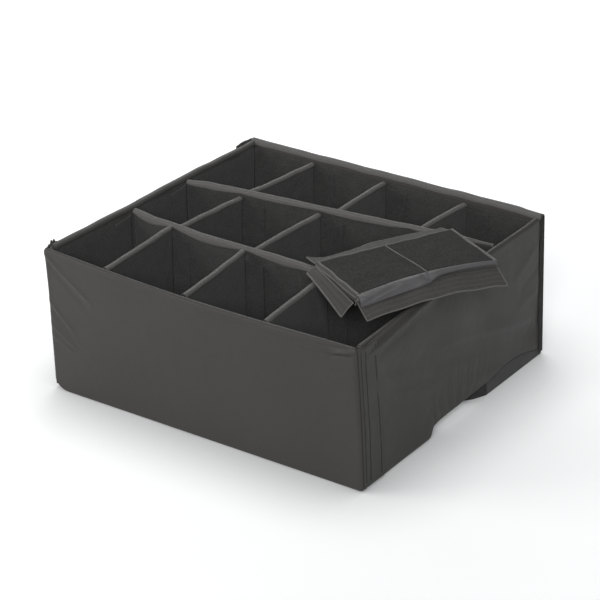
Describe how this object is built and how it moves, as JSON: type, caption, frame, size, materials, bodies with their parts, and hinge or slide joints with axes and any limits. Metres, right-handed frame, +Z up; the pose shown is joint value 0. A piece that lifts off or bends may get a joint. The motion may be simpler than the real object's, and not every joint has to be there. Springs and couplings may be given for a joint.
{
  "type": "case divider set",
  "caption": "Padded divider insert for a hard case: a ring of foam panels round a base pad, with loop-faced dividers held by hook flaps and one spare divider lying on top.",
  "frame": {"origin": "on the ground under the middle of the wall ring, at the underside of the base pad", "axes": "+X along the front wall to its right end, +Y from the front wall to the back wall, +Z up out of the compartments"},
  "size_m": [0.6949, 0.5763, 0.2968],
  "materials": {
    "nylon_cover": "fine black nylon weave, slightly glossy, wrinkled",
    "loop_fabric": "brushed black loop fabric, matt",
    "hook_tape": "black hook tape backing with stitched edges",
    "nylon_tape": "ribbed grey-black binding tape",
    "foam": "closed-cell foam, hidden inside the covers"
  },
  "bodies": {
    "insert": {"front_wall_cover": "nylon_cover", "front_wall_core": "foam", "front_wall_liner": "loop_fabric", "back_wall_cover": "nylon_cover", "back_wall_core": "foam", "back_wall_liner": "loop_fabric", "left_wall_cover": "nylon_cover", "left_wall_core": "foam", "left_wall_liner": "loop_fabric", "right_wall_cover": "nylon_cover", "right_wall_core": "foam", "right_wall_liner": "loop_fabric", "base_pad_cover": "loop_fabric", "base_pad_foam": "foam", "front_long_divider_sleeve": "loop_fabric", "front_long_divider_core": "foam", "rear_long_divider_sleeve": "loop_fabric", "rear_long_divider_core": "foam"},
    "front_divider_1": {"front_divider_1_sleeve": "loop_fabric", "front_divider_1_core": "foam", "front_divider_1_edging": "nylon_tape"},
    "front_divider_2": {"front_divider_2_sleeve": "loop_fabric", "front_divider_2_core": "foam", "front_divider_2_edging": "nylon_tape"},
    "front_divider_3": {"front_divider_3_sleeve": "loop_fabric", "front_divider_3_core": "foam", "front_divider_3_edging": "nylon_tape"},
    "middle_divider_1": {"middle_divider_1_sleeve": "loop_fabric", "middle_divider_1_core": "foam", "middle_divider_1_edging": "nylon_tape"},
    "middle_divider_2": {"middle_divider_2_sleeve": "loop_fabric", "middle_divider_2_core": "foam", "middle_divider_2_edging": "nylon_tape"},
    "back_divider_1": {"back_divider_1_sleeve": "loop_fabric", "back_divider_1_core": "foam", "back_divider_1_edging": "nylon_tape"},
    "back_divider_2": {"back_divider_2_sleeve": "loop_fabric", "back_divider_2_core": "foam", "back_divider_2_edging": "nylon_tape"},
    "back_divider_3": {"back_divider_3_sleeve": "loop_fabric", "back_divider_3_core": "foam", "back_divider_3_edging": "nylon_tape"},
    "front_right_corner_flap": {"front_right_corner_flap": "nylon_cover"},
    "back_right_corner_flap": {"back_right_corner_flap": "hook_tape"},
    "back_left_corner_flap": {"back_left_corner_flap": "hook_tape"},
    "front_left_corner_flap": {"front_left_corner_flap": "hook_tape"},
    "front_long_divider_left_flap": {"front_long_divider_left_flap": "hook_tape"},
    "front_long_divider_right_flap": {"front_long_divider_right_flap": "hook_tape"},
    "rear_long_divider_left_flap": {"rear_long_divider_left_flap": "hook_tape"},
    "rear_long_divider_right_flap": {"rear_long_divider_right_flap": "hook_tape"},
    "loose_divider_left": {"loose_divider_left_sleeve": "loop_fabric", "loose_divider_left_core": "foam"},
    "loose_divider_right": {"loose_divider_right_sleeve": "loop_fabric", "loose_divider_right_core": "foam"},
    "loose_divider_front_flap_left": {"loose_divider_front_flap_left": "hook_tape"},
    "loose_divider_front_flap_right": {"loose_divider_front_flap_right": "hook_tape"},
    "loose_divider_back_flap_left": {"loose_divider_back_flap_left": "hook_tape"},
    "loose_divider_back_flap_right": {"loose_divider_back_flap_right": "hook_tape"},
    "loose_divider_tab": {"loose_divider_tab": "hook_tape"}
  },
  "joints": [
    {"name": "front_divider_1_lift", "type": "slide", "parent": "insert", "child": "front_divider_1", "axis": [0, 0, 1], "range_m": [0, 0.25]},
    {"name": "front_divider_2_lift", "type": "slide", "parent": "insert", "child": "front_divider_2", "axis": [0, 0, 1], "range_m": [0, 0.25]},
    {"name": "front_divider_3_shift", "type": "slide", "parent": "insert", "child": "front_divider_3", "axis": [1, 0, 0], "range_m": [-0.05, 0.05]},
    {"name": "middle_divider_1_lift", "type": "slide", "parent": "insert", "child": "middle_divider_1", "axis": [0, 0, 1], "range_m": [0, 0.25]},
    {"name": "middle_divider_2_lift", "type": "slide", "parent": "insert", "child": "middle_divider_2", "axis": [0, 0, 1], "range_m": [0, 0.25]},
    {"name": "back_divider_1_lift", "type": "slide", "parent": "insert", "child": "back_divider_1", "axis": [0, 0, 1], "range_m": [0, 0.25]},
    {"name": "back_divider_2_lift", "type": "slide", "parent": "insert", "child": "back_divider_2", "axis": [0, 0, 1], "range_m": [0, 0.25]},
    {"name": "back_divider_3_lift", "type": "slide", "parent": "insert", "child": "back_divider_3", "axis": [0, 0, 1], "range_m": [0, 0.25]},
    {"name": "front_right_corner_flap_hinge", "type": "hinge", "parent": "insert", "child": "front_right_corner_flap", "pos_m": [0.3013, -0.282, 0.006], "axis": [0, 0, -1], "range_deg": [0, 150]},
    {"name": "back_right_corner_flap_hinge", "type": "hinge", "parent": "insert", "child": "back_right_corner_flap", "pos_m": [0.295, 0.2883, 0.006], "axis": [0, 0, -1], "range_deg": [0, 150]},
    {"name": "back_left_corner_flap_hinge", "type": "hinge", "parent": "insert", "child": "back_left_corner_flap", "pos_m": [-0.3013, 0.282, 0.006], "axis": [0, 0, -1], "range_deg": [0, 150]},
    {"name": "front_left_corner_flap_hinge", "type": "hinge", "parent": "insert", "child": "front_left_corner_flap", "pos_m": [-0.3013, -0.282, 0.006], "axis": [0, 0, 1], "range_deg": [0, 150]},
    {"name": "front_long_divider_left_flap_hinge", "type": "hinge", "parent": "insert", "child": "front_long_divider_left_flap", "pos_m": [-0.2847, -0.08455, 0.0086], "axis": [0, 0, 1], "range_deg": [0, 62]},
    {"name": "front_long_divider_right_flap_hinge", "type": "hinge", "parent": "insert", "child": "front_long_divider_right_flap", "pos_m": [0.2847, -0.0887, 0.0086], "axis": [0, 0, 1], "range_deg": [0, 80]},
    {"name": "rear_long_divider_left_flap_hinge", "type": "hinge", "parent": "insert", "child": "rear_long_divider_left_flap", "pos_m": [-0.2847, 0.06954, 0.0086], "axis": [0, 0, 1], "range_deg": [0, 80]},
    {"name": "rear_long_divider_right_flap_hinge", "type": "hinge", "parent": "insert", "child": "rear_long_divider_right_flap", "pos_m": [0.2847, 0.15246, 0.0086], "axis": [0, 0, 1], "range_deg": [0, 80]},
    {"name": "loose_divider_lift", "type": "slide", "parent": "insert", "child": "loose_divider_left", "axis": [0, 0, 1], "range_m": [0, 0.15]},
    {"name": "loose_divider_fold", "type": "hinge", "parent": "loose_divider_left", "child": "loose_divider_right", "pos_m": [0.228, -0.044, 0.28266], "axis": [0.8334, -0.5471, 0.0783], "range_deg": [0, 170]},
    {"name": "loose_divider_front_flap_left_hinge", "type": "hinge", "parent": "loose_divider_left", "child": "loose_divider_front_flap_left", "pos_m": [0.26446, -0.13804, 0.27585], "axis": [0.5436, 0.837, 0.0628], "range_deg": [-110, 0]},
    {"name": "loose_divider_front_flap_right_hinge", "type": "hinge", "parent": "loose_divider_right", "child": "loose_divider_front_flap_right", "pos_m": [0.32895, -0.03873, 0.2833], "axis": [0.5436, 0.837, 0.0628], "range_deg": [-110, 0]},
    {"name": "loose_divider_back_flap_left_hinge", "type": "hinge", "parent": "loose_divider_left", "child": "loose_divider_back_flap_left", "pos_m": [0.12825, -0.04915, 0.27008], "axis": [-0.5436, -0.837, -0.0628], "range_deg": [-85, 0]},
    {"name": "loose_divider_back_flap_right_hinge", "type": "hinge", "parent": "loose_divider_right", "child": "loose_divider_back_flap_right", "pos_m": [0.19274, 0.05016, 0.27753], "axis": [-0.5436, -0.837, -0.0628], "range_deg": [-85, 0]},
    {"name": "loose_divider_tab_hinge", "type": "hinge", "parent": "loose_divider_left", "child": "loose_divider_tab", "pos_m": [0.16247, -0.14627, 0.26553], "axis": [-0.8334, 0.5471, -0.0783], "range_deg": [0, 85]}
  ],
  "couplings": [
    {"joint": "loose_divider_front_flap_right_hinge", "follows": "loose_divider_front_flap_left_hinge", "ratio": 1},
    {"joint": "loose_divider_back_flap_right_hinge", "follows": "loose_divider_back_flap_left_hinge", "ratio": 1}
  ]
}
